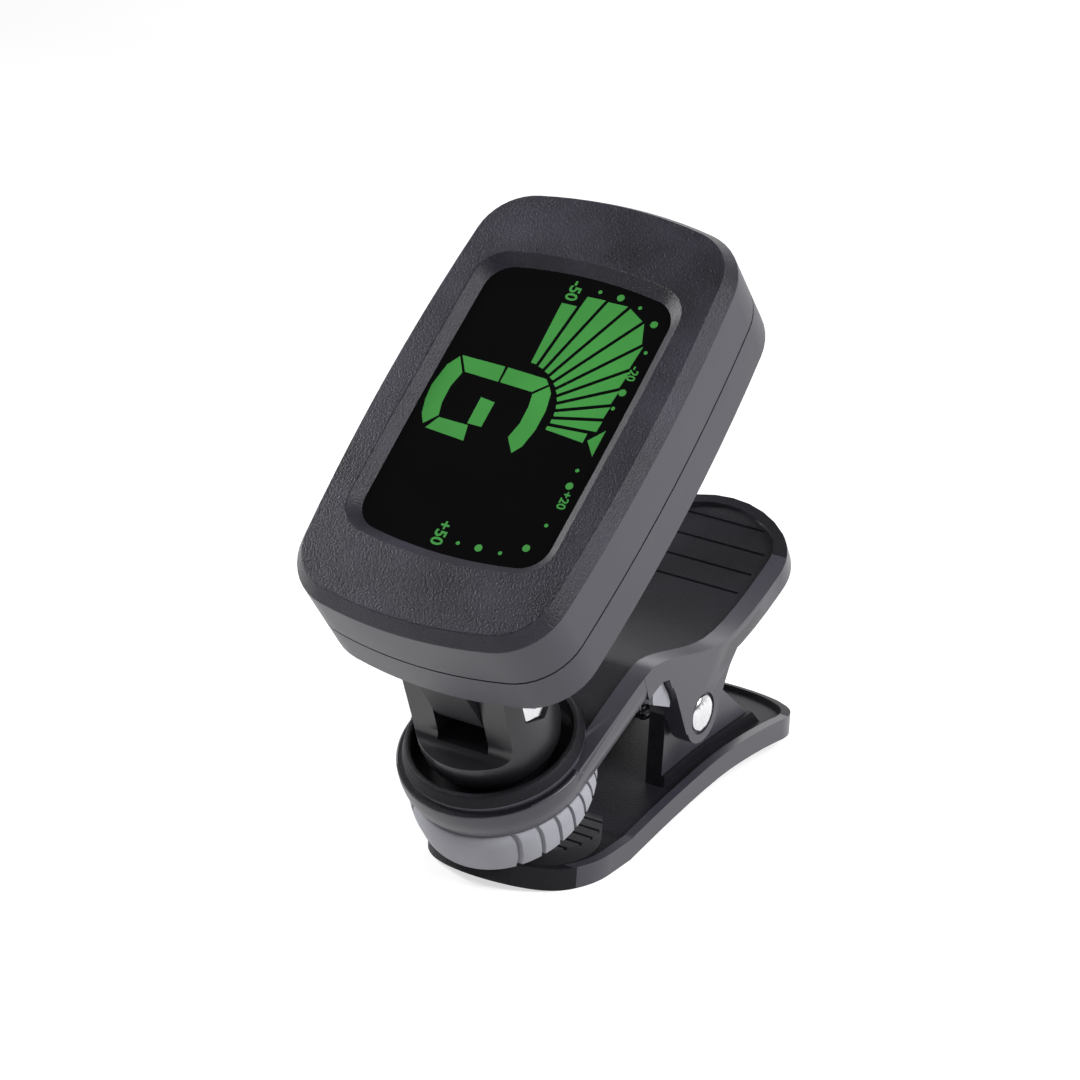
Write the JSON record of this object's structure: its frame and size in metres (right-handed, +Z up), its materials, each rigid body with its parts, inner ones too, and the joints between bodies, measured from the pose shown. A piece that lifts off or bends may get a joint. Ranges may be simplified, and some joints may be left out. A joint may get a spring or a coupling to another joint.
{
  "type": "clip-on instrument tuner",
  "caption": "Clip-on tuner: a bowed-sided display head on a swivelling, tilting turret, carried by a sprung clip with rubber-padded jaws and ribbed thumb plates.",
  "frame": {"origin": "on the ground under the centre of the bounding box, with the clip closed and lying on its lower jaw", "axes": "+X is across the clip along the hinge pin, -Y is where the jaws' tips point, +Y is where the thumb plates point, +Z is up"},
  "size_m": [0.033, 0.074, 0.0691],
  "materials": {
    "face_shell": "fine spark-eroded texture, charcoal",
    "housing": "satin moulded, mid grey",
    "cover": "satin moulded, grey",
    "button": "matte moulded",
    "lens": "polished dark window",
    "gasket": "die-cut foam",
    "lcd": "dark glass laminate",
    "light_guide": "translucent moulded",
    "zebra": "layered elastomer",
    "pcb": "solder mask",
    "chip": "epoxy moulded package",
    "crystal": "pressed can",
    "switch": "moulded",
    "plunger": "moulded",
    "contact": "nickel-plated spring strip",
    "holder": "moulded",
    "cell": "drawn can, circular grain",
    "piezo": "rolled disc",
    "screw": "blackened",
    "turret": "satin moulded, near black",
    "bright_fastener": "bright nickel plate",
    "washer": "stamped",
    "friction_ring": "die-cut polymer",
    "jaw": "spark-eroded panel, smooth rim",
    "lower_jaw": "satin moulded, dark grey",
    "pad": "matte moulded, light grey",
    "spring": "drawn wire"
  },
  "bodies": {
    "lower_jaw": {"lower_jaw": "lower_jaw", "lower_pad": "pad", "hinge_pin": "bright_fastener", "torsion_spring": "spring"},
    "upper_jaw": {"upper_jaw": "jaw", "upper_pad": "pad", "friction_ring": "friction_ring"},
    "turret": {"turret": "turret", "tilt_screw": "bright_fastener", "tilt_nut": "bright_fastener", "swivel_screw": "bright_fastener", "swivel_washer": "washer"},
    "head": {"front_shell": "face_shell", "lens_window": "lens", "display_gasket": "gasket", "lcd_panel": "lcd", "light_guide": "light_guide", "zebra_strip": "zebra", "circuit_board": "pcb", "driver_chip": "chip", "quartz_crystal": "crystal", "tact_switch": "switch", "contact_positive": "contact", "contact_negative": "contact", "cell_holder": "holder", "coin_cell": "cell", "piezo_disc": "piezo", "rear_shell": "housing", "housing_screws": "screw"},
    "battery_cover": {"battery_cover": "cover"},
    "power_button": {"power_button": "button", "switch_plunger": "plunger"}
  },
  "joints": [
    {"name": "jaw_open", "type": "hinge", "parent": "lower_jaw", "child": "upper_jaw", "pos_m": [0, 0.00895, 0.0122], "axis": [-1, 0, 0], "range_deg": [0, 34], "stiffness_Nm_per_rad": 0.04, "springref_deg": -57.3, "deforming": ["torsion_spring"]},
    {"name": "head_swivel", "type": "hinge", "parent": "upper_jaw", "child": "turret", "pos_m": [0, -0.01805, 0.0168], "axis": [0, -0.4067, 0.9135], "continuous": true},
    {"name": "head_tilt", "type": "hinge", "parent": "turret", "child": "head", "pos_m": [0, -0.0213, 0.02411], "axis": [1, 0, 0], "range_deg": [-25, 70]},
    {"name": "cover_turn", "type": "hinge", "parent": "head", "child": "battery_cover", "pos_m": [0, -0.00891, 0.04288], "axis": [0, -0.6361, 0.7716], "range_deg": [0, 40]},
    {"name": "button_press", "type": "slide", "parent": "head", "child": "power_button", "axis": [0, -0.6361, 0.7716], "range_m": [0, 0.0004], "stiffness_N_per_m": 1000, "springref_m": -0.001}
  ]
}
